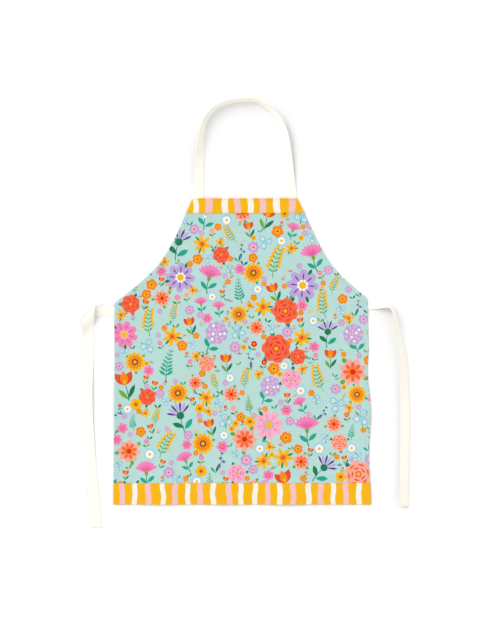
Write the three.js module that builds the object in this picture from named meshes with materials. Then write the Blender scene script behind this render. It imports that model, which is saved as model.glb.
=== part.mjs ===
// A bib apron laid out flat, face up. Millimetres: +X to the right across the skirt, +Y up to the neck
// strap, +Z off the floor. The origin is on the floor, on the centre line, level with the waist ties.
import * as THREE from "three";

// The cut of the cloth
const waistWidth = 702;
const skirtFlare = 13; // how much wider the skirt is at the hem
const skirtLength = 564; // waist corner to hem
const bibWidth = 290;
const bibHeight = 286; // waist corner to the top edge
const hemBandDepth = 60;
const bibBandDepth = 41.5;
const clothThickness = 1;
const sideHemWidth = 12;
const layerGap = 0.3; // clearance between two sewn layers
const foldRounding = 0.4; // how far a folded edge is rounded in

// The tapes
const tapeWidth = 30;
const tapeThickness = 1.1;
const tapeOverlap = 34; // how far a tape runs under the cloth where it is sewn
const tapeSideInset = 1; // from the bib's side edge to the neck strap
const tieDrop = 17; // waist corner to the line through the middle of the ties
const tieStagger = 3; // the left tie is sewn this much below that line, the right one above it
const neckStrapReach = 269.5; // top edge of the bib to the middle of the strap at the top of its arch
const leftTieLength = 675; // free length, from the panel's edge to the tip
const rightTieLength = 628;
const leftTieTurn = 72; // panel's edge to the middle of the tie below its diagonal fold

// How the cloth lies
const waistTilt = 12.5; // the right waist corner lies this much higher than the left one
const bibLean = 10.5; // sideways shift of the bib's top edge
const bibBow = 6; // extra sideways shift halfway up the bib
const sideWave = 3.5; // how far the skirt's side edges wander
const rippleHeight = 4.5; // the tallest soft ridge in the cloth
const hemSag = 8; // width over which the cloth drops from the side hem to the floor
const seamSag = 14; // length over which the cloth drops from a band's mouth to the floor
const seatMargin = 4; // how much wider the raised seat over a tape is than the tape
const seatSlope = 20; // how far the seat takes to die out
const unshearLength = 28; // length over which the mesh of a folded tape turns square again

// The armhole is a cubic curve whose two handles meet here, in shares of the bib's inset and of its height
const armholePull = { inset: 0.594, rise: 0.35 };

// Side edges of the skirt: drop is a share of skirtLength, left and right are shares of sideWave, outwards
const sideSway = [
  { drop: 0.0, left: 0.0, right: 0.0 },
  { drop: 0.24, left: -0.4, right: 0.35 },
  { drop: 0.36, left: -0.6, right: -0.55 },
  { drop: 0.53, left: -0.7, right: 1.0 },
  { drop: 0.75, left: -0.7, right: -0.2 },
  { drop: 1.0, left: -0.85, right: 0.95 },
];

// Soft ridges in the cloth: across is a share of half the waist width, up and reach are shares of the skirt
// length, breadth a share of the waist width, turn the ridge's angle from +Y, tall a share of rippleHeight
const ridges = [
  { across: -0.62, up: -0.86, reach: 0.34, breadth: 0.11, turn: -6, tall: 0.75 },
  { across: -0.12, up: -0.93, reach: 0.26, breadth: 0.1, turn: 4, tall: 0.6 },
  { across: 0.36, up: -0.88, reach: 0.36, breadth: 0.12, turn: 7, tall: 0.9 },
  { across: 0.97, up: -0.52, reach: 0.22, breadth: 0.1, turn: 10, tall: 0.8 },
  { across: -0.98, up: -0.46, reach: 0.2, breadth: 0.09, turn: -8, tall: 0.6 },
  { across: -0.42, up: -0.28, reach: 0.26, breadth: 0.12, turn: -38, tall: 1.0 },
  { across: 0.5, up: -0.24, reach: 0.28, breadth: 0.12, turn: 34, tall: 0.9 },
  { across: -0.2, up: 0.27, reach: 0.24, breadth: 0.1, turn: -20, tall: 0.7 },
  { across: 0.3, up: 0.3, reach: 0.22, breadth: 0.09, turn: 16, tall: 0.6 },
];

// The neck strap's middle line: across is a share of half the distance between its two ends, up a share of
// neckStrapReach, roll how steeply its outer edge stands up, in degrees
const neckRoute = [
  { across: -1.0, up: 0.01, roll: 0 },
  { across: -1.0, up: 0.035, roll: 0 },
  { across: -0.985, up: 0.26, roll: 14 },
  { across: -0.955, up: 0.44, roll: 33 },
  { across: -0.93, up: 0.62, roll: 56 },
  { across: -0.86, up: 0.78, roll: 66 },
  { across: -0.735, up: 0.88, roll: 70 },
  { across: -0.56, up: 0.945, roll: 72 },
  { across: -0.36, up: 0.982, roll: 72 },
  { across: -0.1, up: 1.0, roll: 73 },
  { across: 0.2, up: 1.0, roll: 73 },
  { across: 0.38, up: 0.965, roll: 74 },
  { across: 0.54, up: 0.91, roll: 73 },
  { across: 0.645, up: 0.857, roll: 62 },
  { across: 0.73, up: 0.795, roll: 49 },
  { across: 0.8, up: 0.72, roll: 42 },
  { across: 0.86, up: 0.6, roll: 34 },
  { across: 0.905, up: 0.43, roll: 22 },
  { across: 0.955, up: 0.21, roll: 9 },
  { across: 1.0, up: 0.035, roll: 0 },
  { across: 1.0, up: 0.01, roll: 0 },
];

// The right tie's middle line from the panel's edge, in shares of rightTieLength: it turns down round a
// soft bend whose inner edge stands up
const rightTieRoute = [
  { out: 0.004, down: 0.0, roll: 0 },
  { out: 0.012, down: 0.0, roll: 0 },
  { out: 0.042, down: -0.003, roll: -12 },
  { out: 0.073, down: 0.0, roll: -48 },
  { out: 0.0973, down: 0.008, roll: -66 },
  { out: 0.1127, down: 0.0262, roll: -69 },
  { out: 0.123, down: 0.0682, roll: -62 },
  { out: 0.1349, down: 0.139, roll: -44 },
  { out: 0.1565, down: 0.239, roll: -37 },
  { out: 0.1635, down: 0.359, roll: -28 },
  { out: 0.1658, down: 0.535, roll: -22 },
  { out: 0.164, down: 0.711, roll: -25 },
  { out: 0.1613, down: 0.895, roll: -28 },
];

// The left tie's free end below its fold, in shares of leftTieLength from the fold's corner
const leftTieRoute = [
  { right: -0.001, down: 0.2, roll: 0 },
  { right: -0.0053, down: 0.31, roll: 6 },
  { right: -0.0019, down: 0.474, roll: 4 },
  { right: 0.0096, down: 0.634, roll: 0 },
  { right: 0.0228, down: 0.766, roll: -4 },
  { right: 0.0339, down: 0.892, roll: 0 },
];

// Side view of the left tie's soft diagonal fold, in shares of tapeWidth: out is past the crease, high is
// above the floor; the tape comes from the panel, rolls over its crest and comes back down on itself
const foldProfile = [
  { out: -1.05, high: 0.0 },
  { out: -0.85, high: 0.02 },
  { out: -0.55, high: 0.07 },
  { out: -0.2, high: 0.16 },
  { out: 0.0, high: 0.28 },
  { out: 0.05, high: 0.41 },
  { out: -0.04, high: 0.5 },
  { out: -0.22, high: 0.51 },
  { out: -0.5, high: 0.41 },
  { out: -0.75, high: 0.26 },
  { out: -0.97, high: 0.1 },
  { out: -1.12, high: 0.02 },
  { out: -1.27, high: 0.0 },
];

// Mesh steps
const interiorColumns = 15;
const skirtRows = 11;
const armholeRows = 12;
const smallestRow = 3; // rows of the panel are at least this far apart
const tapeStep = 13;
const foldSteps = 16;
const solverSteps = 30;

// Sizes that follow
const halfWaist = waistWidth / 2;
const halfHem = halfWaist + skirtFlare / 2;
const halfBib = bibWidth / 2;
const halfTape = tapeWidth / 2;
const hemThickness = 2 * clothThickness;
const tongueHem = 1.2 * clothThickness; // the side hem, pressed thin inside a band
const mouthHeight = tongueHem + 2 * layerGap;
const bandThickness = 2 * clothThickness + mouthHeight;
const seatHeight = tapeThickness + layerGap;
const waistCorner = tieDrop;
const topEdge = waistCorner + bibHeight;
const bottomEdge = waistCorner - skirtLength;
const bibMouth = topEdge - bibBandDepth;
const hemMouth = bottomEdge + hemBandDepth;
const strapSeatEnd = topEdge - tapeOverlap - seatMargin;
const strapHalfSpan = halfBib - tapeSideInset - halfTape;
const tieSeatHalf = halfTape + seatMargin;
const up = new THREE.Vector3(0, 0, 1);
const smooth = (t) => THREE.MathUtils.smoothstep(t, 0, 1);
const steps = (count) => Array.from({ length: count + 1 }, (_, n) => n / count);

const armholeHandle = new THREE.Vector2(
  halfWaist - armholePull.inset * (halfWaist - halfBib),
  waistCorner + armholePull.rise * bibHeight,
);
const armhole = new THREE.CubicBezierCurve(
  new THREE.Vector2(halfWaist, waistCorner),
  armholeHandle,
  armholeHandle,
  new THREE.Vector2(halfBib, topEdge),
);

// The bib's half width at a height, by halving the curve's range
function armholeHalfWidth(y) {
  let [low, high] = [0, 1];
  for (let n = 0; n < solverSteps; n++) {
    const middle = (low + high) / 2;
    if (armhole.getPoint(middle).y < y) low = middle;
    else high = middle;
  }
  return armhole.getPoint(high).x;
}

// How far a side edge wanders outwards at a share of the skirt's length
function sway(drop, side) {
  const next = Math.max(1, sideSway.findIndex((row) => row.drop >= drop));
  const [above, below] = [sideSway[next - 1], sideSway[next]];
  const share = smooth((drop - above.drop) / (below.drop - above.drop));
  return THREE.MathUtils.lerp(above[side], below[side], share) * sideWave;
}

// Left and right edge of the cloth at a height
function edges(y) {
  if (y >= waistCorner) {
    const rise = (y - waistCorner) / bibHeight;
    const lean = bibLean * rise + bibBow * Math.sin(Math.PI * rise);
    return [lean - armholeHalfWidth(y), lean + armholeHalfWidth(y)];
  }
  const drop = Math.min((waistCorner - y) / skirtLength, 1);
  const half = THREE.MathUtils.lerp(halfWaist, halfHem, drop);
  return [-half - sway(drop, "left"), half + sway(drop, "right")];
}

// How far in from the side edges the seats over the tape ends reach
const seatInner = seatMargin + Math.max(
  tapeOverlap,
  bibLean - strapHalfSpan + halfTape - edges(strapSeatEnd)[0],
  edges(strapSeatEnd)[1] - (bibLean + strapHalfSpan - halfTape),
);

// The waist line lies tilted, and the tilt dies out at the top edge and at the hem
function tilted(x, y) {
  const span = y > waistCorner ? bibHeight : skirtLength;
  const share = Math.max(0, 1 - Math.abs(y - waistCorner) / span);
  return y + (share * waistTilt * x) / waistWidth;
}

// How high the ridges lift the cloth off the floor
function ripple(x, y) {
  return ridges.reduce((height, ridge) => {
    const turn = THREE.MathUtils.degToRad(ridge.turn);
    const dx = x - ridge.across * halfWaist;
    const dy = y - ridge.up * skirtLength;
    const along = (dy * Math.cos(turn) - dx * Math.sin(turn)) / (ridge.reach * skirtLength);
    const over = (dx * Math.cos(turn) + dy * Math.sin(turn)) / (ridge.breadth * waistWidth);
    const fall = Math.max(0, 1 - along * along - over * over);
    return height + ridge.tall * rippleHeight * fall * fall;
  }, 0);
}

// How far the cloth is raised over a sewn tape end, from the distance to the side edge and the height
function seat(inward, y) {
  const sideways = 1 - smooth((inward - seatInner) / seatSlope);
  const beyond = Math.min(Math.abs(y) - tieSeatHalf, strapSeatEnd - y);
  return seatHeight * sideways * (1 - smooth(beyond / seatSlope));
}

// Distances from a side edge to the mesh columns that follow the hem and the seats
function sideColumns(inset) {
  return [
    inset,
    inset + foldRounding,
    sideHemWidth,
    sideHemWidth + foldRounding / 2,
    sideHemWidth + hemSag,
    seatInner,
    seatInner + seatSlope / 2,
    seatInner + seatSlope,
  ];
}

// One closed loop of points across the cloth: a top row to the right, then a bottom row back.
// profile(n) gives the lower and upper height of column n, counted inwards from the side edge.
function crossLoop(y, inset, profile) {
  const [left, right] = edges(y);
  const side = sideColumns(inset);
  const inner = side.at(-1);
  const columns = [
    ...side.map((inward, n) => ({ x: left + inward, inward, n })),
    ...steps(interiorColumns).slice(1, -1).map((share) => {
      const x = THREE.MathUtils.lerp(left + inner, right - inner, share);
      return { x, inward: Math.min(x - left, right - x), n: side.length };
    }),
    ...side.map((inward, n) => ({ x: right - inward, inward, n })).reverse(),
  ];
  const row = (which) => columns.map(({ x, inward, n }) => (
    new THREE.Vector3(x, tilted(x, y), profile(n)[which] + ripple(x, y) + seat(inward, y))
  ));
  return [...row(1), ...row(0).reverse()];
}

// A closed solid through loops of equal length, each a row of points and a row back on its other face
function loft(loops) {
  const count = loops[0].length;
  const faces = [];
  for (let base = 0; base < (loops.length - 1) * count; base += count) {
    for (let n = 0; n < count; n++) {
      const [a, b] = [base + n, base + ((n + 1) % count)];
      faces.push([a, b, b + count], [a, b + count, a + count]);
    }
  }
  const closeEnd = (base, flip) => {
    for (let n = 0; n + 1 < count / 2; n++) {
      const [a, b, c, d] = [base + n, base + n + 1, base + count - 2 - n, base + count - 1 - n];
      faces.push(...(flip ? [[a, b, c], [a, c, d]] : [[a, c, b], [a, d, c]]));
    }
  };
  closeEnd(0, false);
  closeEnd((loops.length - 1) * count, true);
  const points = loops.flat();
  const volume = faces.reduce((sum, [a, b, c]) => (
    sum + points[a].dot(points[b].clone().cross(points[c]))
  ), 0);
  const geometry = new THREE.BufferGeometry();
  geometry.setAttribute("position", new THREE.Float32BufferAttribute(points.flatMap((p) => p.toArray()), 3));
  geometry.setIndex(faces.flatMap((face) => (volume < 0 ? face.toReversed() : face)));
  geometry.computeVertexNormals();
  return geometry;
}

// A flat layer between two heights, with its side edge rounded
function layer(low, high, rounding) {
  return (n) => (n === 0 ? [low + rounding, high - rounding] : [low, high]);
}

// The panel on the floor: two layers at the side hem, then the single cloth sags to the floor
function hemmed(n) {
  if (n === 0) return [foldRounding, hemThickness - foldRounding];
  if (n <= 2) return [0, hemThickness];
  if (n === 3) return [clothThickness, hemThickness];
  return [0, clothThickness];
}

// The panel's edge where it runs into a band
function tongue(n) {
  const low = clothThickness + layerGap;
  const high = low + tongueHem;
  if (n === 0) return [low + foldRounding, high - foldRounding];
  return [n <= 2 ? low : high - clothThickness, high];
}

// Heights of a band's mesh rows, from its mouth to its middle
function bandRows(mouth, end) {
  const middle = (mouth + end) / 2;
  const seatEnd = (strapSeatEnd - mouth) * (middle - strapSeatEnd) > 0 ? [strapSeatEnd] : [];
  return [mouth, ...seatEnd, middle];
}

// Heights of the panel's mesh rows between its two bands
function panelRows() {
  const skirt = steps(skirtRows - 1).map((share) => (
    THREE.MathUtils.lerp(hemMouth + seamSag, -tieSeatHalf - seatSlope, share)
  ));
  const waist = [-tieSeatHalf - seatSlope / 2, -tieSeatHalf, -tieSeatHalf / 2, waistCorner];
  const bib = steps(armholeRows).slice(1).map((share) => armhole.getPoint(share).y);
  const last = bibMouth - seamSag;
  const rows = [...skirt, ...waist, ...bib].filter((y) => y < last - smallestRow).sort((a, b) => a - b);
  return [...rows.filter((y, n) => n === 0 || y - rows[n - 1] > smallestRow), last];
}

function frontPanel() {
  const wall = clothThickness + layerGap;
  const inBand = (y) => crossLoop(y, wall, tongue);
  const hemRows = bandRows(hemMouth, bottomEdge).slice(1);
  const bibRows = bandRows(bibMouth, topEdge).slice(1);
  return loft([
    inBand(bottomEdge + wall),
    ...hemRows.toReversed().map(inBand),
    inBand(hemMouth + layerGap),
    crossLoop(hemMouth + 2 * layerGap, 0, tongue),
    ...panelRows().map((y) => crossLoop(y, 0, hemmed)),
    crossLoop(bibMouth - 2 * layerGap, 0, tongue),
    inBand(bibMouth - layerGap),
    ...bibRows.map(inBand),
    inBand(topEdge - wall),
  ]);
}

// A striped border folded round the panel's edge: a flat pocket that opens at its mouth
function band(mouth, end) {
  const into = Math.sign(end - mouth);
  const rounding = 2 * foldRounding;
  const outside = layer(0, bandThickness, rounding);
  const hollow = layer(clothThickness, clothThickness + mouthHeight, foldRounding);
  const rows = bandRows(mouth, end);
  return loft([
    crossLoop(end - into * clothThickness, clothThickness, hollow),
    ...rows.toReversed().map((y) => crossLoop(y, clothThickness, hollow)),
    ...rows.map((y) => crossLoop(y, 0, outside)),
    crossLoop(end - into * foldRounding, 0, outside),
    crossLoop(end, foldRounding, () => [rounding, bandThickness - rounding]),
  ]);
}

// Cross-sections of a tape along a route on the floor, its lower edge touching the floor.
// face is 1 where the tape lies face up and -1 where it lies face down.
function routeFrames(rows, face) {
  const route = new THREE.CatmullRomCurve3(rows.map(({ x, y, roll }) => new THREE.Vector3(x, y, roll)));
  return steps(Math.ceil(route.getLength() / tapeStep)).map((share) => {
    const { x, y, z: degrees } = route.getPointAt(share);
    const heading = route.getTangentAt(share).setZ(0).normalize();
    const leftwards = new THREE.Vector3(-heading.y, heading.x, 0);
    const roll = THREE.MathUtils.degToRad(degrees);
    const height = halfTape * Math.abs(Math.sin(roll)) + (tapeThickness / 2) * Math.cos(roll);
    const across = leftwards.clone().multiplyScalar(Math.cos(roll)).addScaledVector(up, Math.sin(roll));
    const normal = leftwards.multiplyScalar(-Math.sin(roll)).addScaledVector(up, Math.cos(roll));
    return { centre: new THREE.Vector3(x, y, height), across, normal: normal.multiplyScalar(face) };
  });
}

// Cross-sections of a tape that runs to the left, rolls over a diagonal crease and leaves downwards.
// Inside the fold each section lies along the crease, so that the cloth isn't stretched.
function foldFrames(startX, y, turnX) {
  const alongCrease = new THREE.Vector3(1, 1, 0).normalize();
  const pastCrease = new THREE.Vector3(-1, 1, 0).normalize();
  const profile = new THREE.SplineCurve(foldProfile.map(({ out, high }) => (
    new THREE.Vector2(out * tapeWidth, high * tapeWidth + tapeThickness / 2)
  )));
  const begin = foldProfile[0].out * tapeWidth;
  const finish = foldProfile.at(-1).out * tapeWidth;
  const excess = begin + profile.getLength() + finish; // cloth taken up by the roll
  const corner = new THREE.Vector3(turnX + excess * Math.SQRT1_2, y, 0);
  const onFloor = (x, yAt, shearX, shearY, side) => ({
    centre: new THREE.Vector3(x, yAt, tapeThickness / 2),
    across: new THREE.Vector3(shearX, shearY, 0),
    normal: up.clone().multiplyScalar(side),
  });
  const foldX = corner.x - begin * Math.SQRT2;
  const inward = steps(2).slice(0, -1).map((share) => (
    onFloor(THREE.MathUtils.lerp(startX, foldX, share), y, share, 1, 1)
  ));
  const fold = steps(foldSteps).map((share) => {
    const { x: out, y: high } = profile.getPointAt(share);
    const slope = profile.getTangentAt(share);
    const used = begin + share * profile.getLength();
    return {
      centre: corner.clone().addScaledVector(alongCrease, -used).addScaledVector(pastCrease, out).setZ(high),
      across: alongCrease.clone().multiplyScalar(Math.SQRT2),
      normal: pastCrease.clone().multiplyScalar(-slope.y).addScaledVector(up, slope.x),
    };
  });
  const leave = fold.at(-1).centre;
  const outward = [1 / 2, 1].map((share) => (
    onFloor(leave.x, leave.y - share * unshearLength, 1, 1 - share, -1)
  ));
  return [...inward, ...fold, ...outward];
}

// A tape's solid from its cross-sections
function tape(frames) {
  return loft(frames.map(({ centre, across, normal }) => {
    const row = (side) => [-halfTape, 0, halfTape].map((width) => (
      centre.clone().addScaledVector(across, width).addScaledVector(normal, (side * tapeThickness) / 2)
    ));
    return [...row(1), ...row(-1).reverse()];
  }));
}

function neckStrap() {
  const rows = neckRoute.map(({ across, up: rise, roll }) => (
    { x: bibLean + across * strapHalfSpan, y: topEdge + rise * neckStrapReach, roll }
  ));
  const sewn = (across) => ({ x: bibLean + across * strapHalfSpan, y: topEdge - tapeOverlap, roll: 0 });
  return tape(routeFrames([sewn(-1), ...rows, sewn(1)], 1));
}

function waistTieLeft() {
  const [edge] = edges(-tieStagger);
  const y = tilted(edge, -tieStagger);
  const turnX = edge - leftTieTurn;
  const folded = foldFrames(edge + tapeOverlap, y, turnX);
  const { x: startX, y: startY } = folded.at(-1).centre;
  const rows = leftTieRoute.map(({ right, down, roll }) => (
    { x: turnX + right * leftTieLength, y: y - down * leftTieLength, roll }
  ));
  return tape([...folded, ...routeFrames([{ x: startX, y: startY, roll: 0 }, ...rows], -1).slice(1)]);
}

function waistTieRight() {
  const [, edge] = edges(tieStagger);
  const y = tilted(edge, tieStagger);
  const rows = rightTieRoute.map(({ out, down, roll }) => (
    { x: edge + out * rightTieLength, y: y - down * rightTieLength, roll }
  ));
  return tape(routeFrames([{ x: edge - tapeOverlap, y, roll: 0 }, ...rows], 1));
}

const printedCotton = { color: 0xbbe0d8, roughness: 0.92, metalness: 0 };
const stripedCotton = { color: 0xf8c04c, roughness: 0.9, metalness: 0 };
const cottonTape = { color: 0xfdfbf3, roughness: 0.95, metalness: 0 };

const apron = new THREE.Group();
const pieces = [
  ["front_panel", frontPanel(), printedCotton],
  ["bib_band", band(bibMouth, topEdge), stripedCotton],
  ["hem_band", band(hemMouth, bottomEdge), stripedCotton],
  ["neck_strap", neckStrap(), cottonTape],
  ["waist_tie_left", waistTieLeft(), cottonTape],
  ["waist_tie_right", waistTieRight(), cottonTape],
];
for (const [name, geometry, finish] of pieces) {
  const mesh = new THREE.Mesh(geometry, new THREE.MeshStandardMaterial(finish));
  mesh.name = name;
  apron.add(mesh);
}

export default apron;
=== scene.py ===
import math, random
import bpy, bmesh
import numpy as np
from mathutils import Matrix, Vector
from mathutils.geometry import delaunay_2d_cdt


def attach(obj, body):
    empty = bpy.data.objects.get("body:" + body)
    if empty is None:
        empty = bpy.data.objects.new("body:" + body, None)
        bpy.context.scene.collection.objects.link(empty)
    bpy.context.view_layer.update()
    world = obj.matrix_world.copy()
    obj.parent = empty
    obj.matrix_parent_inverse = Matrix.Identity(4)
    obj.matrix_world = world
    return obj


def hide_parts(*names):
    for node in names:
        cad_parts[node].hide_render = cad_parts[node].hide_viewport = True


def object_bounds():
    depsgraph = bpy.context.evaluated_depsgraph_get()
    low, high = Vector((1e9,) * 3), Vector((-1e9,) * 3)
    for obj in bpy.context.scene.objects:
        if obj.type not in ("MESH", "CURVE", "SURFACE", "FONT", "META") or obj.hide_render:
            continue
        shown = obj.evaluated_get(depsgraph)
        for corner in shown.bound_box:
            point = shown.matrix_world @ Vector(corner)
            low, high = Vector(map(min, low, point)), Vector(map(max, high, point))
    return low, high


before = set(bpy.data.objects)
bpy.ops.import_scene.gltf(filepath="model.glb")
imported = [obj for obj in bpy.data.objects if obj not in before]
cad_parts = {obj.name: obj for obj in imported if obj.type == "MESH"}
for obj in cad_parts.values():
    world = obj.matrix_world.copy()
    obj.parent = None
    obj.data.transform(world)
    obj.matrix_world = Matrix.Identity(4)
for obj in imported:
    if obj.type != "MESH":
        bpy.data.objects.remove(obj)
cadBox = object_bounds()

mm = 0.001

# camera straight above, on an overexposed white table
table = {"centre": (11.1, -4.4), "tall": 1715, "lens": 120, "size": 6000, "below": 0.2,
         "light": 1.45, "paint": 0.728,   # the table is just overexposed, and the dyes allow for that light
         "brightest": 0.85,   # no cloth gives back more than this share of it
         "window": 0.22, "sky": 0.78, "horizon": 1.6,    # the walls are lighter than the ceiling
         "windowTilt": 50, "windowTurn": 143, "windowSoft": 36}

scene = bpy.context.scene
scene.view_settings.view_transform = "Standard"


def addObject(name, data):
    ob = bpy.data.objects.new(name, data)
    scene.collection.objects.link(ob)
    return ob


def node(tree, kind, inputs, **settings):
    n = tree.nodes.new("ShaderNode" + kind)
    for key, value in settings.items():
        setattr(n, key, value)
    for key, value in inputs.items():
        if isinstance(value, bpy.types.NodeSocket):
            tree.links.new(value, n.inputs[key])
        else:
            n.inputs[key].default_value = value
    return n


cam = addObject("camera", bpy.data.cameras.new("camera"))
cam.data.lens = table["lens"]
cam.location = (table["centre"][0] * mm, table["centre"][1] * mm,
                table["tall"] * mm * table["lens"] / cam.data.sensor_width)
cam.data.clip_end = 50
scene.camera = cam


def newMaterial(name, roughness=0.9, sheen=0.0):
    m = bpy.data.materials.new(name)
    m.use_nodes = True
    bsdf = m.node_tree.nodes["Principled BSDF"]
    bsdf.inputs["Roughness"].default_value = roughness
    bsdf.inputs["Specular IOR Level"].default_value = 0.15
    bsdf.inputs["Sheen Weight"].default_value = sheen
    bsdf.inputs["Sheen Roughness"].default_value = 0.5
    return m, m.node_tree, bsdf


def dye(r, g, b):
    # a colour as the picture shows it, turned into the cloth's own colour
    lit = [((c / 255 + 0.055) / 1.055) ** 2.4 if c > 10 else c / 3295 for c in (r, g, b)]
    return (*[min(c / table["light"], table["brightest"]) for c in lit], 1.0)


window = bpy.data.lights.new("window", "SUN")
tilt = math.radians(table["windowTilt"])
window.energy = table["window"] * table["light"] * math.pi / math.cos(tilt)
window.angle = math.radians(table["windowSoft"])
addObject("window", window).rotation_euler = (0, tilt, math.radians(table["windowTurn"]))

# the sky changes evenly from the horizon up, and lights the table the same whatever the horizon
world = bpy.data.worlds.new("room")
scene.world = world
world.use_nodes = True
tree, sky = world.node_tree, world.node_tree.nodes["Background"]
height = node(tree, "SeparateXYZ", {0: node(tree, "TexCoord", {}).outputs["Generated"]}).outputs[2]
low, high = [k * table["sky"] * table["light"] for k in (table["horizon"], 1.5 - table["horizon"] / 2)]
tree.links.new(node(tree, "MapRange", {0: height, 3: low, 4: high}).outputs[0], sky.inputs["Strength"])
sky.inputs["Color"].default_value = (1, 1, 1, 1)

bpy.ops.mesh.primitive_plane_add(size=table["size"] * mm, location=(0, 0, -table["below"] * mm))
floor = bpy.context.object
floor.name = "floor"
floorMat, tree, bsdf = newMaterial("white_table", 1.0)
bsdf.inputs["Base Color"].default_value = (*[table["paint"]] * 3, 1)
bsdf.inputs["Specular IOR Level"].default_value = 0
floor.data.materials.append(floorMat)
print("stage set")


# the CAD cloths were lofted through rings of points: read them back, from the end that comes first
clothRing, tapeRing = 60, 6      # points in a ring, half of them on each face


def rings(name, count, first):
    bm = bmesh.new()
    bm.from_mesh(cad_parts[name].data)
    bmesh.ops.remove_doubles(bm, verts=bm.verts, dist=0.02 * mm)
    bm.verts.index_update()
    row = sorted(bm.verts, key=lambda v: first(v.co))[:count]
    seen, found = set(row), []
    while row:
        inRow = set(row)
        near = {v: [] for v in row}
        for v in row:
            for e in v.link_edges:
                w = e.other_vert(v)
                if w in inRow and any(not inRow.issuperset(f.verts) for f in e.link_faces):
                    near[v].append(w)
        loop = [min(row, key=lambda v: v.index)]
        while len(loop) < count:
            loop.append(next(w for w in near[loop[-1]] if w not in loop[-2:]))
        found.append(np.array([v.co[:] for v in loop]))
        after = {e.other_vert(v) for v in row for e in v.link_edges} - seen
        seen |= after
        row = sorted(after, key=lambda v: v.index)
    bm.free()
    return found


def clothRings(name, first):
    # each ring as an upper and a lower row of points, both from left to right
    out = []
    half = clothRing // 2
    for ring in rings(name, clothRing, first):
        a, b = np.argsort(ring[:, 0])[:2]
        start, under = (a, b) if ring[a, 2] > ring[b, 2] else (b, a)
        ring = np.roll(ring, -start, axis=0)
        if (under - start) % clothRing == 1:
            ring = np.roll(ring[::-1], 1, axis=0)
        out.append((ring[:half], ring[half:][::-1]))
    return out


def unit(v):
    return v / np.maximum(np.linalg.norm(v, axis=-1), 1e-20)[..., None]


def pairs(x, y):
    return np.stack([x, y], 1)


def leftOf(way):
    return pairs(-way[:, 1], way[:, 0])


def lengths(p):
    # how far along a path each of its points lies
    return np.concatenate([[0], np.cumsum(np.linalg.norm(np.diff(p, axis=0), axis=1))])


def splined(points, step):
    # smooth curve through rows of values, measured along the first three
    p = np.asarray(points, float)
    t = lengths(p[:, :3])
    slope = np.gradient(p, t, axis=0)
    u = np.linspace(0, t[-1], int(math.ceil(t[-1] / step)) + 1)
    k = np.clip(np.searchsorted(t, u, "right") - 1, 0, len(t) - 2)
    h = (t[k + 1] - t[k])[:, None]
    s = (u - t[k])[:, None] / h
    return (p[k] * (1 + 2 * s) * (1 - s) ** 2 + slope[k] * h * s * (1 - s) ** 2
            + p[k + 1] * s * s * (3 - 2 * s) + slope[k + 1] * h * s * s * (s - 1))


def grid(xs, ys):
    gx, gy = np.meshgrid(xs, ys)
    return pairs(gx.ravel(), gy.ravel())


def smooth(t):
    t = np.clip(t, 0, 1)
    return t * t * (3 - 2 * t)


# how the cloth lies, in millimetres, the first three as in the CAD
lay = {"hem": 12, "sag": 8, "seam": 14, "bandHigh": 3.8, "tongueHigh": 2.5, "intoBand": 12,
       "round": 1.0, "squeezed": 0.4, "narrower": 1.5, "narrowFor": 30,      # side edges, and those in a band
       "hemSeam": 10, "groove": 0.11, "grooveWide": 0.9,
       "bandSeam": 2.4, "bandGroove": 0.22, "bandGrooveWide": 0.8, "mouthThin": 0.35, "mouthLong": 0.9,
       "tapeSeam": 6,      # from the bib's fold to the row that holds the neck tape
       "showThrough": 0.22}      # share of the print that shows on the back
panelStep, bandStep = 12 * mm, 7 * mm      # between the inner points of a cloth

panelRings = clothRings("front_panel", lambda c: c.y)
hemRings = clothRings("hem_band", lambda c: c.y)
hemRings = hemRings[1:(len(hemRings) + 1) // 2][::-1]       # the outside, mouth to fold
bibRings = clothRings("bib_band", lambda c: -c.y)
bibRings = bibRings[1:(len(bibRings) + 1) // 2][::-1]
hemMouth = hemRings[0][0][:, 1].mean()
bibMouth = bibRings[0][0][:, 1].mean()
inSight = [r for r in panelRings
           if hemMouth + 10 * mm < r[0][:, 1].mean() < bibMouth - 10 * mm]

# outline of the cloth, left and right, from the hem up, with the waist corner kept sharp
allRows = hemRings[::-1] + inSight + bibRings
edges = []
for side in (0, -1):
    p = np.array([top[side][:2] for top, low in allRows])
    p[0, 1], p[-1, 1] = p[0, 1] - 0.4 * mm, p[-1, 1] + 0.4 * mm
    way = unit(np.diff(p, axis=0))
    corner = 1 + int(np.argmin((way[1:] * way[:-1]).sum(axis=1)))
    edges.append((splined(p[:corner + 1], 3 * mm), splined(p[corner:], 3 * mm)))
outline = [np.vstack([a, b[1:]]) for a, b in edges]
cornerAt = [len(a) - 1 for a, b in edges]


def sideX(side, y):
    return np.interp(y, outline[side][:, 1], outline[side][:, 0])


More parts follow.
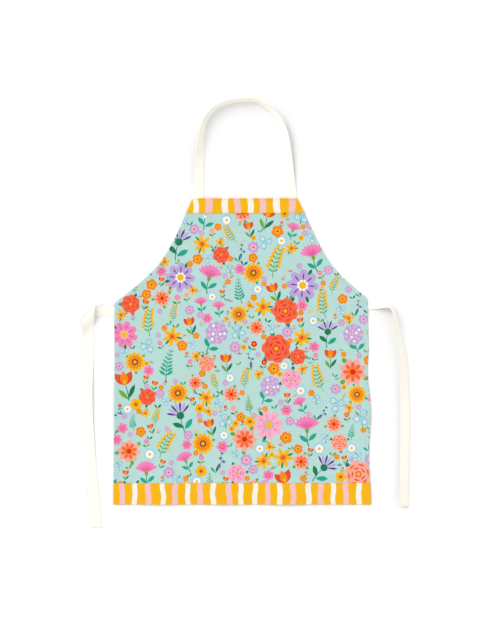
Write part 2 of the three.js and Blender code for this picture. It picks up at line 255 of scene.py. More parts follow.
def toEdge(p):
    # signed distance outwards from the nearer side edge, the foot on it and the outward direction
    p = np.asarray(p, float)
    q, foot, out = np.full(len(p), -1.0), p.copy(), np.tile([1.0, 0.0], (len(p), 1))
    right = p[:, 0] > (sideX(0, p[:, 1]) + sideX(1, p[:, 1])) / 2
    for side in (0, 1):
        mine = np.flatnonzero(right == bool(side))
        mine = mine[np.abs(p[mine, 0] - sideX(side, p[mine, 1])) < 60 * mm]
        a, b = outline[side][:-1], outline[side][1:]
        d = b - a
        for part in np.array_split(mine, max(1, len(mine) // 1500)):
            if not len(part):
                continue
            rel = p[part][:, None] - a[None]
            s = np.clip((rel * d).sum(-1) / (d * d).sum(-1), 0, 1)
            off = rel - s[..., None] * d
            k = np.argmin((off ** 2).sum(-1), axis=1)
            n = np.arange(len(part))
            away, seg = off[n, k], d[k] / np.linalg.norm(d[k], axis=1)[:, None]
            square = leftOf(seg) * (1 if side == 0 else -1)
            size = np.linalg.norm(away, axis=1)
            sign = np.where((away * square).sum(1) >= 0, 1.0, -1.0)
            clear = size > 0.01 * mm
            straight = away / np.maximum(size, 1e-9)[:, None] * sign[:, None]
            out[part] = np.where(clear[:, None], straight, square)
            q[part] = size * sign
            foot[part] = a[k] + s[n, k][:, None] * d[k]
    return q, foot, out


# how high the ripples and the seats over the tapes lift the cloth: a thin plate through the CAD's lower rows
inner = range(1, clothRing // 2 - 1)
hemEnds = (3, 26)      # these two columns don't follow the lift
seats = [low[[c for c in inner if c not in hemEnds]] for top, low in inSight]
seats = np.vstack(seats + [low[list(inner)] for top, low in hemRings + bibRings])


def plate(a, b):
    d = ((a[:, None, :2] - b[None, :, :2]) ** 2).sum(-1)
    return d * np.log(d + 1e-12)


size = len(seats)
system = np.zeros((size + 3, size + 3))
system[:size, :size] = plate(seats, seats) + np.eye(size) * 1e-7
system[:size, size] = system[size, :size] = 1
system[:size, size + 1:] = seats[:, :2]
system[size + 1:, :size] = seats[:, :2].T
weights = np.linalg.solve(system, np.concatenate([seats[:, 2], np.zeros(3)]))
cell = 6 * mm
corner0 = np.array([cadBox[0][0], cadBox[0][1]]) - 3 * cell
cells = [int(math.ceil((cadBox[1][k] - cadBox[0][k]) / cell)) + 7 for k in (0, 1)]
gx, gy = np.meshgrid(*[corner0[k] + np.arange(cells[k]) * cell for k in (0, 1)], indexing="ij")
nodesXY = pairs(gx.ravel(), gy.ravel())
lift = np.concatenate([plate(part, seats) @ weights[:size] for part in np.array_split(nodesXY, 40)])
lift = (lift + weights[size] + nodesXY @ weights[size + 1:]).reshape(gx.shape)


def cubic(t):
    return np.stack([-0.5 * t + t * t - 0.5 * t ** 3, 1 - 2.5 * t * t + 1.5 * t ** 3,
                     0.5 * t + 2 * t * t - 1.5 * t ** 3, -0.5 * t * t + 0.5 * t ** 3])


def liftAt(p):
    # from the 16 nearest points of the grid
    g = (p - corner0) / cell
    i = np.floor(g).astype(int)
    i = np.clip(i, 1, np.array(cells) - 3)
    f = g - i
    wx, wy = cubic(f[:, 0]), cubic(f[:, 1])
    z = sum(wx[a] * wy[b] * lift[i[:, 0] + a - 1, i[:, 1] + b - 1] for a in range(4) for b in range(4))
    return np.maximum(z, 0.0)


print("cloth read:", len(seats), "points")


# a flat drawing cut into triangles; paint is a list of (colour, polygon), the last on top
def cutOut(edge, lines, paint, fill):
    points, links, faces = [], [], []

    def add(line):
        base = len(points)
        points.extend([(float(x), float(y)) for x, y in line])
        return list(range(base, len(points)))

    def addFace(polygon):
        x, y = np.asarray(polygon).T
        turned = (x * np.roll(y, -1) - y * np.roll(x, -1)).sum() < 0    # faces go anticlockwise
        faces.append(add(polygon[::-1] if turned else polygon))
    addFace(edge)
    for line in lines:
        ids = add(line)
        links += list(zip(ids, ids[1:]))
    for colour, polygon in paint[1:]:
        addFace(polygon)
    add(fill)
    verts, _, tris, _, _, made = delaunay_2d_cdt(
        [Vector(p) for p in points], links, faces, 1, 0.01 * mm, True)
    keep = [k for k, origin in enumerate(made) if 0 in origin]
    tri = np.array([tris[k] for k in keep])
    look = np.array([max(made[k]) for k in keep])
    flat = np.array([v[:] for v in verts])
    used, tri = np.unique(tri, return_inverse=True)
    tri, flat = tri.reshape(-1, 3), flat[used]
    e = flat[tri[:, 1]] - flat[tri[:, 0]]
    f = flat[tri[:, 2]] - flat[tri[:, 0]]
    back = e[:, 0] * f[:, 1] - e[:, 1] * f[:, 0] < 0
    tri[back] = tri[back][:, ::-1]
    return flat, tri, look


# any cloth here: the flat drawing is laid in place by shape(), which gives places and thickness
def clothMesh(name, edge, lines, paint, fill, shape, bake, faded, mirrored=False):
    flat, tri, look = cutOut(edge, lines, paint, fill)
    place, thick = shape(flat)
    eps = 0.05 * mm
    normal = unit(np.cross(shape(flat + [eps, 0])[0] - place, shape(flat + [0, eps])[0] - place))
    if mirrored:
        normal, tri = -normal, tri[:, ::-1]
    # where the edge bends, the nearest foot jumps: take the triangles' own direction there
    facing = np.zeros_like(normal)
    cross = np.cross(place[tri[:, 1]] - place[tri[:, 0]], place[tri[:, 2]] - place[tri[:, 0]])
    for k in range(3):
        np.add.at(facing, tri[:, k], cross)
    facing = unit(facing)
    odd = (normal * facing).sum(1) < 0.8
    normal[odd] = facing[odd]
    count = len(flat)
    spots = np.vstack([place, place - normal * thick[:, None]])

    sides = np.vstack([tri[:, [0, 1]], tri[:, [1, 2]], tri[:, [2, 0]]])
    key = np.minimum(sides[:, 0], sides[:, 1]) * count + np.maximum(sides[:, 0], sides[:, 1])
    _, at, times = np.unique(key, return_index=True, return_counts=True)
    rim = sides[at[times == 1]]
    rims = np.vstack([np.stack([rim[:, 1], rim[:, 0], rim[:, 0] + count], 1),
                      np.stack([rim[:, 1], rim[:, 0] + count, rim[:, 1] + count], 1)])
    allTri = np.vstack([tri, tri[:, ::-1] + count, rims])

    mesh = bpy.data.meshes.new(name)
    mesh.from_pydata(spots.tolist(), [], allTri.tolist())
    mesh.polygons.foreach_set("use_smooth", [True] * len(allTri))
    inks = np.array([colour for colour, _ in paint])
    pale = np.array(faded)
    behind = pale + (inks - pale) * lay["showThrough"]
    shade = np.vstack([inks[look], behind[look], np.tile(pale, (len(rims), 1))])
    attr = mesh.attributes.new("print", "FLOAT_COLOR", "CORNER")
    attr.data.foreach_set("color", np.repeat(shade, 3, axis=0).astype(np.float32).ravel())
    corners = flat[allTri.ravel() % count]
    uv = mesh.uv_layers.new(name="cloth")
    uv.data.foreach_set("uv", corners.astype(np.float32).ravel())
    if bake:
        lowXY, highXY = flat.min(0), flat.max(0)
        span = (highXY - lowXY).max()
        front = 0.01 + 0.98 * (corners - lowXY) / span
        behindUV = bake["at"] + bake["share"] * (highXY - corners) / span
        group = np.repeat(np.array([0] * len(tri) + [1] * (len(tri) + len(rims))), 3)
        uv2 = mesh.uv_layers.new(name="OFBake")
        uv2.data.foreach_set("uv", np.where(group[:, None] == 0, front, behindUV).astype(np.float32).ravel())
    mesh.normals_split_custom_set_from_vertices(np.vstack([normal, -normal]).tolist())
    ob = addObject(name, mesh)
    print(name, len(allTri), "triangles")
    return ob


# printed cotton: its colours, and what grows on it; every motif is drawn in a circle of radius 1
inks = {"ground": dye(187, 222, 216), "coral": dye(250, 104, 66), "coralDeep": dye(232, 74, 40),
        "red": dye(232, 28, 30), "orange": dye(246, 138, 22), "golden": dye(248, 186, 10),
        "pink": dye(246, 134, 188), "pinkDeep": dye(226, 84, 150), "rose": dye(250, 178, 200),
        "blush": dye(253, 170, 150), "lilac": dye(192, 168, 218), "violet": dye(104, 54, 146),
        "teal": dye(28, 168, 138), "tealDeep": dye(18, 132, 116), "leaf": dye(108, 172, 58),
        "forest": dye(10, 124, 84), "sky": dye(146, 204, 228), "navy": dye(66, 76, 148),
        "white": dye(252, 252, 250), "brown": dye(120, 66, 40)}


def bloom(r, lobes, depth, turn=0.0, full=0.6, at=(0, 0), squash=1.0):
    a = np.linspace(0, 2 * np.pi, max(8, lobes * 4), endpoint=False) + turn
    far = r * (1 - depth + depth * np.abs(np.cos(lobes * (a - turn) / 2)) ** full)
    return pairs(at[0] + far * np.cos(a), at[1] + far * squash * np.sin(a))


def petal(at, turn, length, width, widest=0.55, n=4):
    t = np.linspace(0, 1, n + 1)
    w = width / 2 * np.sin(np.pi * t ** (math.log(0.5) / math.log(widest))) ** 0.85
    x = np.concatenate([t, t[-2:0:-1]]) * length
    y = np.concatenate([w, -w[-2:0:-1]])
    c, s = math.cos(turn), math.sin(turn)
    return pairs(at[0] + c * x - s * y, at[1] + s * x + c * y)


def bend(a, b, bow, t):
    # point and direction on a curved stalk
    a, b = np.array(a, float), np.array(b, float)
    mid = (a + b) / 2 + np.array([a[1] - b[1], b[0] - a[0]]) * bow
    point = (1 - t) ** 2 * a + 2 * t * (1 - t) * mid + t * t * b
    way = 2 * (1 - t) * (mid - a) + 2 * t * (b - mid)
    return point, math.atan2(way[1], way[0])


def stalk(a, b, bow, width=0.045, n=6):
    left, right = [], []
    for t in np.linspace(0, 1, n):
        p, turn = bend(a, b, bow, t)
        off = np.array([-math.sin(turn), math.cos(turn)]) * width * (1 - 0.45 * t) / 2
        left.append(p + off)
        right.append(p - off)
    return np.array(left + right[::-1])


def around(n, turn=0.0):
    return [turn + 2 * math.pi * k / n for k in range(n)]


def polar(r, a, at=(0, 0)):
    return (at[0] + r * math.cos(a), at[1] + r * math.sin(a))


def rosette(rng):
    a = rng.uniform(0, 6.28)
    pale, deep, heart = rng.choice([("coral", "coralDeep", "red"), ("coral", "coralDeep", "red"),
                                    ("blush", "coral", "coralDeep"), ("rose", "pink", "pinkDeep")])
    out = [("forest", petal(polar(0.7, a + t), a + t, 0.5, 0.3)) for t in (0.2, 2.3, 4.1)]
    for ink, r, lobes, depth in ((pale, 0.95, 7, 0.14), (deep, 0.74, 6, 0.14), (pale, 0.67, 6, 0.15),
                                 (heart, 0.48, 5, 0.16), (pale, 0.42, 5, 0.18), (deep, 0.25, 4, 0.2)):
        a += 0.55
        out.append((ink, bloom(r, lobes, depth, a)))
    return out + [("golden", bloom(0.13, 2, 0, a))]


def cosmos(rng):
    a = rng.uniform(0, 6.28)
    out = [("forest", petal(polar(0.62, t), t, 0.5, 0.22)) for t in (a + 0.4, a + 2.7)]
    outer, vein, inner = rng.choice([("pink", "pinkDeep", "rose"), ("rose", "pink", "lilac"),
                                     ("lilac", "violet", "white")])
    out += [(outer, bloom(0.98, 8, 0.3, a, 0.4))]
    out += [(vein, petal(polar(0.3, t), t, 0.46, 0.09)) for t in around(8, a)]
    return out + [(inner, bloom(0.36, 8, 0.3, a + 0.39)), ("golden", bloom(0.23, 6, 0.12, a))]


def gerbera(rng):
    a = rng.uniform(0, 6.28)
    leaves = [("teal", petal(polar(0.7, t), t, 0.5, 0.26)) for t in (a, a + 1.9, a + 4.2)]
    return leaves + [("golden", bloom(0.97, 12, 0.24, a, 0.45)),
                     ("orange", bloom(0.7, 12, 0.26, a + 0.26, 0.5)),
                     ("brown", bloom(0.3, 6, 0.08, a)), ("golden", bloom(0.17, 2, 0, a))]


def narcissus(rng):
    a = rng.uniform(0, 6.28)
    out = [("forest", petal(polar(0.3, t), t, 0.78, 0.2)) for t in (a + 0.5, a + 2.6)]
    out += [("golden", petal((0, 0), t, 1.02, 0.46, 0.55)) for t in around(6, a)]
    return out + [("orange", bloom(0.36, 6, 0.2, a)), ("coralDeep", bloom(0.16, 2, 0, a))]


def mimosa(rng):
    out = [("leaf", stalk((-0.05, -1), (0.1, 0.8), 0.14, 0.05))]
    for k in range(6):
        p, turn = bend((-0.05, -1), (0.1, 0.8), 0.14, 0.2 + 0.15 * k)
        for side in (1, -1):
            tip = polar(0.5 - 0.05 * k, turn + side * 0.75, p)
            out += [("leaf" if side > 0 else "teal", petal(p, turn + side, 0.36, 0.1)),
                    ("leaf", stalk(p, tip, 0.1, 0.03, 2)), ("golden", bloom(0.12, 2, 0, at=tip))]
    return out


def peony(rng):
    # rings of narrow petals, each ring deeper in colour
    a = rng.uniform(0, 6.28)
    out = [("leaf", petal(polar(0.66, a + t), a + t, 0.42, 0.3)) for t in (0.75, 3.4, 5.1)]
    out += [("blush", petal((0, 0), t, 0.9, 0.42, 0.68)) for t in around(8, a)]
    out += [("coral", petal((0, 0), t, 0.66, 0.26, 0.66)) for t in around(8, a + 0.39)]
    out += [("orange", bloom(0.34, 8, 0.3, a, 0.5)), ("red", bloom(0.2, 6, 0.2, a))]
    return out


def carnation(rng):
    fan = [polar(0.92 if k % 2 else 0.74, math.radians(22 + k * 136 / 16), (0, 0.05)) for k in range(17)]
    out = [("forest", stalk((0.06, -1), (0, 0), 0.1, 0.07)),
           ("teal", petal((0.03, -0.66), 0.7, 0.72, 0.28)), ("teal", petal((0.04, -0.76), 2.4, 0.72, 0.28)),
           ("pink", np.array([(0, -0.02)] + fan))]
    out += [("pinkDeep", petal((0, 0.1), math.radians(t), 0.58, 0.07)) for t in (38, 58, 78, 100, 122, 142)]
    return out + [("leaf", petal((0, -0.26), math.pi / 2, 0.44, 0.26, 0.6))]


def thistle(rng):
    out = [("tealDeep", stalk((-0.1, -1), (0, 0), 0.12, 0.06)),
           ("teal", petal((-0.05, -0.75), 0.6, 0.78, 0.32)),
           ("forest", petal((-0.03, -0.62), 2.45, 0.74, 0.3))]
    out += [("lilac" if k % 2 else "violet", petal((0, 0.1), math.radians(30 + 20 * k), 0.85, 0.14, 0.7))
            for k in range(7)]
    return out + [("forest", bloom(0.24, 8, 0.15, at=(0, 0.1), squash=0.95))]


def tulip(rng):
    return [("forest", stalk((0.08, -1), (0, 0), -0.08, 0.07)),
            ("forest", petal((0.06, -0.9), 1.0, 0.98, 0.28)), ("leaf", petal((0.07, -0.95), 2.2, 0.88, 0.27)),
            ("coralDeep", petal((0, -0.05), 1.0, 0.95, 0.5, 0.5)),
            ("coralDeep", petal((0, -0.05), 2.14, 0.95, 0.5, 0.5)),
            ("orange", petal((0, -0.08), 1.571, 0.92, 0.5, 0.45)),
            ("golden", petal((0, -0.02), 1.571, 0.34, 0.16))]


def bells(rng):
    out = [("forest", stalk((-0.35, -1), (0.35, 0.85), -0.3, 0.05, 8)),
           ("forest", petal((-0.32, -0.9), 0.95, 0.9, 0.24)),
           ("teal", petal((-0.36, -0.95), 2.1, 0.62, 0.22))]
    for k, t in enumerate((0.45, 0.62, 0.78, 0.95)):
        p, _ = bend((-0.35, -1), (0.35, 0.85), -0.3, t)
        a = -0.7 if k % 2 else -2.3
        out += [("navy" if k % 2 else "violet", petal(p, a, 0.46 - 0.06 * k, 0.3 - 0.03 * k, 0.68)),
                ("sky", petal(polar(0.2, a, p), a, 0.2, 0.09))]
    return out


def fern(rng):
    ink, vein = ("teal", "tealDeep") if rng.random() < 0.6 else ("leaf", "forest")
    out = [(vein, stalk((0, -1), (0, 0.95), 0.12, 0.05, 8))]
    for k in range(7):
        p, turn = bend((0, -1), (0, 0.95), 0.12, 0.18 + 0.12 * k)
        size = 0.52 - 0.055 * k
        out += [(ink, petal(p, turn + side * 0.95, size, size * 0.34)) for side in (1, -1)]
    return out


def posy(rng):
    out = [("leaf", petal((0, 0), t, 0.95, 0.2)) for t in (0.9, 2.4, 4.9)]
    for k, a in enumerate(around(3, rng.uniform(0, 2))):
        at = polar(0.48, a)
        out += [("sky", bloom(0.42, 5, 0.3, a, 0.5, at)), ("white", bloom(0.2, 5, 0.45, a, 0.6, at)),
                ("golden" if k else "red", bloom(0.09, 4, 0, at=at))]
    return out


def puff(rng):
    out = [("tealDeep", stalk((0.1, -1), (0, 0), 0.1, 0.06)), ("teal", petal((0.08, -0.78), 0.6, 0.62, 0.26)),
           ("teal", petal((0.06, -0.7), 2.5, 0.62, 0.26)), ("lilac", bloom(0.68, 9, 0.16, at=(0, 0.28)))]
    spots = [polar(r, a, (0, 0.28)) for r, n in ((0.46, 9), (0.22, 5), (0, 1)) for a in around(n, r)]
    return out + [("rose" if k % 3 else "white", bloom(0.085, 2, 0, k, at=p)) for k, p in enumerate(spots)]


def buttercup(rng):
    a = rng.uniform(0, 6.28)
    first, second = rng.choice([("orange", "golden"), ("golden", "orange"), ("orange", "golden")])
    return [(first, bloom(0.97, 5, 0.2, a, 0.5)), (second, bloom(0.45, 5, 0.35, a, 0.6)),
            ("brown", bloom(0.17, 2, 0, a))]


def bud(rng):
    ink = rng.choice(["coral", "pink", "red", "blush"])
    return [("leaf", stalk((0, -1), (0, 0), 0.1, 0.09)), ("leaf", petal((0, -0.5), 0.5, 0.75, 0.3)),
            ("forest", petal((0, -0.6), 2.6, 0.75, 0.3)), (ink, bloom(0.5, 5, 0.22, 1.57, at=(0, 0.42))),
            ("golden", bloom(0.16, 4, 0.1, at=(0, 0.42)))]


def head(*blooms):
    # seen from above: blooms on one another, each an ink, radius, lobes, depth and fullness
    def drawn(rng):
        a = rng.uniform(0, 6.28)
        return [(ink, bloom(r, lobes, depth, a, full)) for ink, r, lobes, depth, full in blooms]
    return drawn


daisy = head(("sky", 0.97, 9, 0.34, 0.6), ("white", 0.74, 9, 0.36, 0.6), ("golden", 0.26, 2, 0, 1))
violaHead = head(("lilac", 0.95, 7, 0.22, 0.5), ("rose", 0.5, 7, 0.25, 0.6), ("red", 0.15, 4, 0, 1))
pinkHead = head(("pink", 0.95, 6, 0.24, 0.5), ("pinkDeep", 0.45, 6, 0.3, 0.6), ("golden", 0.17, 4, 0, 1))


def leafPair(rng):
    ink = rng.choice(["teal", "leaf", "forest", "teal"])
    return [(ink, petal((0.05, -0.75), 0.95, 1.5, 0.6)), (ink, petal((-0.05, -0.75), 2.3, 1.3, 0.5))]


def seeds(rng):
    ink = rng.choice(["red", "coral", "navy", "golden", "leaf"])
    return [(ink, petal((0, -0.1), a, 0.9, 0.34)) for a in (0.5, 1.57, 2.65)]


# how many of each, largest first, with the least and greatest radius in millimetres; taken is the share
# of the radius that others stay clear of, drawn how large it is drawn, apart the radii between two of a
# kind, left how many kinds there always are to choose from, and upright a turn in degrees
garden = {"seed": 41, "clear": -3.4, "tries": 16000, "fine": 0.42, "bigFine": 0.6,
          "taken": 0.96, "drawn": 1.04, "apart": 9, "left": 3,
          "big": (40, (36, 46), [rosette, cosmos, peony, carnation, tulip,
                                 thistle, mimosa, puff, fern, carnation]),
          "middle": (100, (23, 31), [gerbera, rosette, tulip, narcissus, bells, mimosa,
                                     posy, peony, carnation, fern, narcissus]),
          "small": (210, (13.5, 18), [buttercup, bud, narcissus, buttercup, violaHead,
                                      pinkHead, daisy, tulip, posy]),
          "tiny": (210, (7.5, 11), [buttercup, leafPair, leafPair, seeds, violaHead, buttercup, bud]),
          "upright": 32}


def thinned(p, least):
    # leaves out corners that stand out by less than this
    for _ in range(3):
        a, b = np.roll(p, 1, axis=0), np.roll(p, -1, axis=0)
        d, off = b - a, p - a
        high = np.abs(d[:, 0] * off[:, 1] - d[:, 1] * off[:, 0]) / np.maximum(np.linalg.norm(d, axis=1), 1e-9)
        drop = (high < least) & (np.arange(len(p)) % 2 == 0)
        if len(p) - drop.sum() < 4:
            break
        p = p[~drop]
    return p


def plant(low, high):
    rng = random.Random(garden["seed"])
    placed, paint = [], []
    clear = garden["clear"] * mm
    for size in ("big", "middle", "small", "tiny"):
        count, (least, most), kinds = garden[size]
        done, last = 0, []
        for _ in range(garden["tries"]):
            if done == count:
                break
            r = rng.uniform(least, most) * mm
            x, y = rng.uniform(low[0], high[0]), rng.uniform(low[1], high[1])
            room = r * garden["taken"]
            if any((x - a) ** 2 + (y - b) ** 2 < (room + c + clear) ** 2 for a, b, c in placed):
                continue
            placed.append((x, y, room))
            near = [kind for a, b, kind in last if math.hypot(x - a, y - b) < garden["apart"] * r]
            near = near[-len(kinds) + garden["left"]:]
            kind = rng.choice([k for k in kinds if k not in near] or kinds)
            last.append((x, y, kind))
            turn = math.radians(rng.gauss(0, garden["upright"] / 2))
            c, s = math.cos(turn) * r * garden["drawn"], math.sin(turn) * r * garden["drawn"]
            fine = garden["fine"] * mm * (garden["bigFine"] if size == "big" else 1)
            for ink, shape in kind(rng):
                px, py = np.asarray(shape).T
                paint.append((ink, thinned(pairs(x + c * px - s * py, y + s * px + c * py), fine)))
            done += 1
    return paint


# front panel: domain is the cloth's top face, plus the side hem that turns under past the edge
def mouthShare(y):
    # 1 inside a band, falling to 0 over the seam's length
    seam = lay["seam"] * mm
    return np.maximum(smooth(1 - (y - hemMouth) / seam), smooth(1 - (bibMouth - y) / seam))


def edgeRound(m):
    return (lay["round"] - lay["squeezed"] * m) * mm


def panelShape(p):
    q, foot, out = toEdge(p)
    far = q <= -45 * mm
    y = np.where(far, p[:, 1], foot[:, 1])
    m = mouthShare(np.where(q < 0, p[:, 1], y))
    r = edgeRound(m)
    u = q + r
    phi = np.clip(u / r, 0, math.pi)
    off = np.where(u <= 0, q, np.where(u < math.pi * r, -r + r * np.sin(phi), -r - (u - math.pi * r)))
    spot = np.where((u > 0)[:, None], foot + out * off[:, None], p)
    d = -np.minimum(off, 0)
    hem = np.where(u > 0, 1.0, 1 - smooth((d / mm - lay["hem"]) / lay["sag"]))
    high = (1 + hem) * (1 - m) + lay["tongueHigh"] * m
    high -= np.where(u <= 0, lay["groove"] * np.exp(-((d / mm - lay["hemSeam"]) / lay["grooveWide"]) ** 2), 0)
    within = np.maximum(smooth((hemMouth - spot[:, 1]) / mm), smooth((spot[:, 1] - bibMouth) / mm))
    fade = lay["narrowFor"] * mm
    spot = spot - out * (within * lay["narrower"] * mm * (d < fade) * (1 - d / fade))[:, None]
    z = liftAt(spot) + high * mm - r + r * np.cos(phi)
    thick = np.where(d < 14 * mm, 0.9 * r, 0.95 * mm)
    return np.column_stack([spot, z]), thick


def offsetLine(side, q, low, high):
    # points beside an edge, q outwards; q may differ from point to point
    line = outline[side]
    way = np.gradient(line, axis=0)
    at = cornerAt[side]
    way[at] = line[at] - line[at - 1]
    way = unit(way)
    square = leftOf(way) * (1 if side == 0 else -1)
    inside = (line[:, 1] >= low) & (line[:, 1] <= high)
    return (line + square * np.broadcast_to(q, len(line))[:, None])[inside]


panelLow, panelHigh = hemMouth - lay["intoBand"] * mm, bibMouth + lay["intoBand"] * mm
lines, ends = [], []
for side in (0, 1):
    y = outline[side][:, 1]
    r = edgeRound(mouthShare(y))
    along = lengths(outline[side])
    fromCorner = np.abs(along - along[cornerAt[side]])
    turned = (math.pi - 1) * r + np.minimum(lay["hem"] * mm, fromCorner * 1.6)
    ends.append(offsetLine(side, turned, panelLow, panelHigh))
    inwards = [lay["hem"] + lay["sag"], lay["hem"] + lay["sag"] / 2, lay["hem"]]
    inwards += [lay["hemSeam"] + k * lay["grooveWide"] for k in (1, 0, -1)]
    for q in [-d * mm for d in inwards] + [k / 4 * math.pi * r - r for k in range(5)]:
        line = offsetLine(side, q, panelLow, panelHigh)
        near = toEdge(line)[0]
        good = np.abs(near - (q if np.isscalar(q) else near)) < 0.1 * mm
        run = []
        for point, ok in zip(line, good):
            if ok:
                run.append(point)
            if not ok:
                lines.append(run[::2])
                run = []
        lines.append(run[::2] + run[-1:])
lines = [run for run in lines if len(run) > 1]

across = [np.linspace(ends[0][k], ends[1][k], 90)[1:-1] for k in (-1, 0)]      # both ends, inside the bands
edge = np.vstack([ends[0], across[0], ends[1][::-1], across[1][::-1]])
for y in (hemMouth - 1 * mm, hemMouth, hemMouth + 4 * mm, hemMouth + 9 * mm, hemMouth + 14 * mm,
          bibMouth - 14 * mm, bibMouth - 9 * mm, bibMouth - 4 * mm, bibMouth, bibMouth + 1 * mm):
    lines.append([(x, y) for x in np.arange(sideX(0, y) + 22 * mm, sideX(1, y) - 21 * mm, 8 * mm)])
low, high = edge.min(0), edge.max(0)
fill = grid(*[np.arange(low[k], high[k], panelStep) for k in (0, 1)]) + 0.3 * mm
x, y = fill.T
fill = fill[(toEdge(fill)[0] < -1.5 * mm) & (x > sideX(0, y) + 2 * mm) & (x < sideX(1, y) - 2 * mm)]
motifs = []
for ink, polygon in plant(low - 20 * mm, high + 20 * mm):
    middle = polygon.mean(0)
    if sideX(0, middle[1]) - 26 * mm < middle[0] < sideX(1, middle[1]) + 26 * mm \
            and hemMouth - 10 * mm < middle[1] < bibMouth + 10 * mm:
        motifs.append((inks[ink], polygon))
panel = clothMesh("printed_panel", edge, lines, [(inks["ground"], None)] + motifs, fill, panelShape,
                  {"at": np.array([0.003, 0.792]), "share": 0.2}, dye(236, 240, 232))


# striped borders: a sleeve folded over the cloth's end, drawn flat as x, and v from the front mouth
# over the fold to the back one
stripeInks = {"y": dye(251, 185, 4), "p": dye(249, 199, 196), "w": dye(252, 246, 234)}
cream = dye(253, 250, 239)      # the tapes' cotton, before bleaching
waves = (0.3, 21), (0.5, 9)      # share of a stripe's wander, and its length to the radian
borders = {
    "hem_band": {"rings": hemRings, "start": -354.5, "wander": 2.7, "seed": 5,
                 "stripes": "y17.8 p14.7 y21 w13.9 y21.6 p15 y27.2 w13.9 y18.6 p15.5 y20.8 w13.3 "
                            "y20.5 p15.5 y21.1 w14.4 y28.6 p15.5 y17.8 w13.9 y25.8 w13.9 y20.8 p13.9 "
                            "y20.5 w14.4 y21.2 p15.3 y27.8 w15.3 y18.9 p15.3 y20.4 w13.3 y21.1 p15 "
                            "y20.4 w14.7 y33"},
    "bib_band": {"rings": bibRings, "start": -180, "wander": 2.7, "seed": 8,
                 "stripes": "y46.8 w14.8 y20 p20 y25 w17.3 y17.2 p17 y20 w16.6 y17 p17.2 y21 w18.3 "
                            "y24.7 p17.8 y60"},
}


def border(name):
    b = borders[name]
    mouth, fold = b["rings"][0][0], b["rings"][-1][0]
    way = 1 if fold[0, 1] > mouth[0, 1] else -1
    foldY = fold[:, 1].mean() + way * 0.4 * mm
    r = lay["bandHigh"] / 2 * mm
    depth = abs(foldY - mouth[:, 1].mean())
    flatPart = depth - r
    total = 2 * flatPart + math.pi * r

    def yAt(x, v):
        start = np.interp(x, mouth[:, 0], mouth[:, 1])
        phi = np.clip((v - flatPart) / r, 0, math.pi)
        turned = np.where(v < flatPart + math.pi * r, flatPart + r * np.sin(phi), total - v)
        down = np.where(v < flatPart, v, turned)
        return start + (foldY - start) * down / depth, phi

    def shape(p):
        x, v = p[:, 0], p[:, 1]
        y, phi = yAt(x, v)
        spot = pairs(x, y)
        d = np.clip(-toEdge(spot)[0], 0, 1)
        swell = np.sqrt(1 - (1 - np.clip(d / r, 0, 1)) ** 2)
        fromMouth = np.minimum(v, total - v) / mm
        slim = lay["mouthThin"] * np.clip(1 - fromMouth / lay["mouthLong"], 0, 1) ** 2
        slim += lay["bandGroove"] * np.exp(-((fromMouth - lay["bandSeam"]) / lay["bandGrooveWide"]) ** 2)
        z = liftAt(spot) + r + np.cos(phi) * swell * (r - slim * mm)
        return np.column_stack([spot, z]), np.clip(0.6 * d, 0.05 * mm, 1.0 * mm)

    vLines = [v * mm for v in (0, 0.4, 0.9, 1.7, 2.4, 3.1, 4)]      # close together at the mouth and its seam
    vLines += [total - v for v in vLines[::-1]]
    vLines += [flatPart + k / 4 * math.pi * r for k in range(5)]
    vAll = np.unique(np.round(np.concatenate([vLines, np.arange(8 * mm, total - 7 * mm, 5 * mm)]), 6))

    def sideAt(side, v, inset=0.0):
        x = sideX(side, foldY + 0 * v)
        for _ in range(3):
            x = sideX(side, yAt(x, v)[0]) + (inset if side == 0 else -inset)
        return x
    leftEdge, rightEdge = [pairs(sideAt(side, vAll), vAll) for side in (0, 1)]
    lines = []
    for v in vLines:
        left, right = [sideAt(side, np.array([v]))[0] for side in (0, 1)]
        lines.append([(x, v) for x in np.arange(left + 3 * mm, right - 2.5 * mm, 6 * mm)])
    for inset in (0.3 * mm, 0.9 * mm, 1.9 * mm):
        lines += [pairs(sideAt(side, vAll[1:-1], inset), vAll[1:-1]) for side in (0, 1)]
    fill = grid(np.arange(leftEdge[:, 0].min(), rightEdge[:, 0].max(), bandStep),
                np.arange(6 * mm, total - 5 * mm, bandStep)) + 0.3 * mm
    x, v = fill.T
    fill = fill[(x > sideAt(0, v) + 3 * mm) & (x < sideAt(1, v) - 3 * mm)]

    rng = random.Random(b["seed"])
    vStripe = np.concatenate([[-2 * mm], np.arange(4 * mm, total, 5 * mm), [total + 2 * mm]])

    x = b["start"] * mm
    paint = [(stripeInks["y"], None)]
    for word in b["stripes"].split():
        wide = float(word[1:]) * mm
        if word[0] != "y":      # a hand-cut stripe, which wanders and leans a little
            a, c, lean = rng.uniform(0, 6), rng.uniform(0, 6), rng.uniform(-0.03, 0.03)
            off = sum(share * np.sin(vStripe / (long * mm) + at) for (share, long), at in zip(waves, (a, c)))
            off *= b["wander"] * mm
            off += lean * (vStripe - depth / 2)
            left, right = [x + at + off + [rng.uniform(-0.5, 0.5) * mm for _ in vStripe] for at in (0, wide)]
            stripe = np.vstack([pairs(left, vStripe), pairs(right, vStripe)[::-1]])
            paint.append((stripeInks[word[0]], stripe))
        x += wide
    made = clothMesh(name + "_cloth", np.vstack([leftEdge, rightEdge[::-1]]), lines, paint, fill, shape, None,
                     dye(250, 236, 206), way < 0)
    return made, shape, total


hemBand, bibBand = border("hem_band"), border("bib_band")


# tapes: each CAD ring has three points on one face and three on the other
tapes = {"wide": 30.0, "bleach": 1.16, "step": 4, "high": 1.1, "round": 0.35, "across": 9,
         "seam": 3.2, "dip": 0.16, "endRow": 2}      # the free end is sewn across at this section


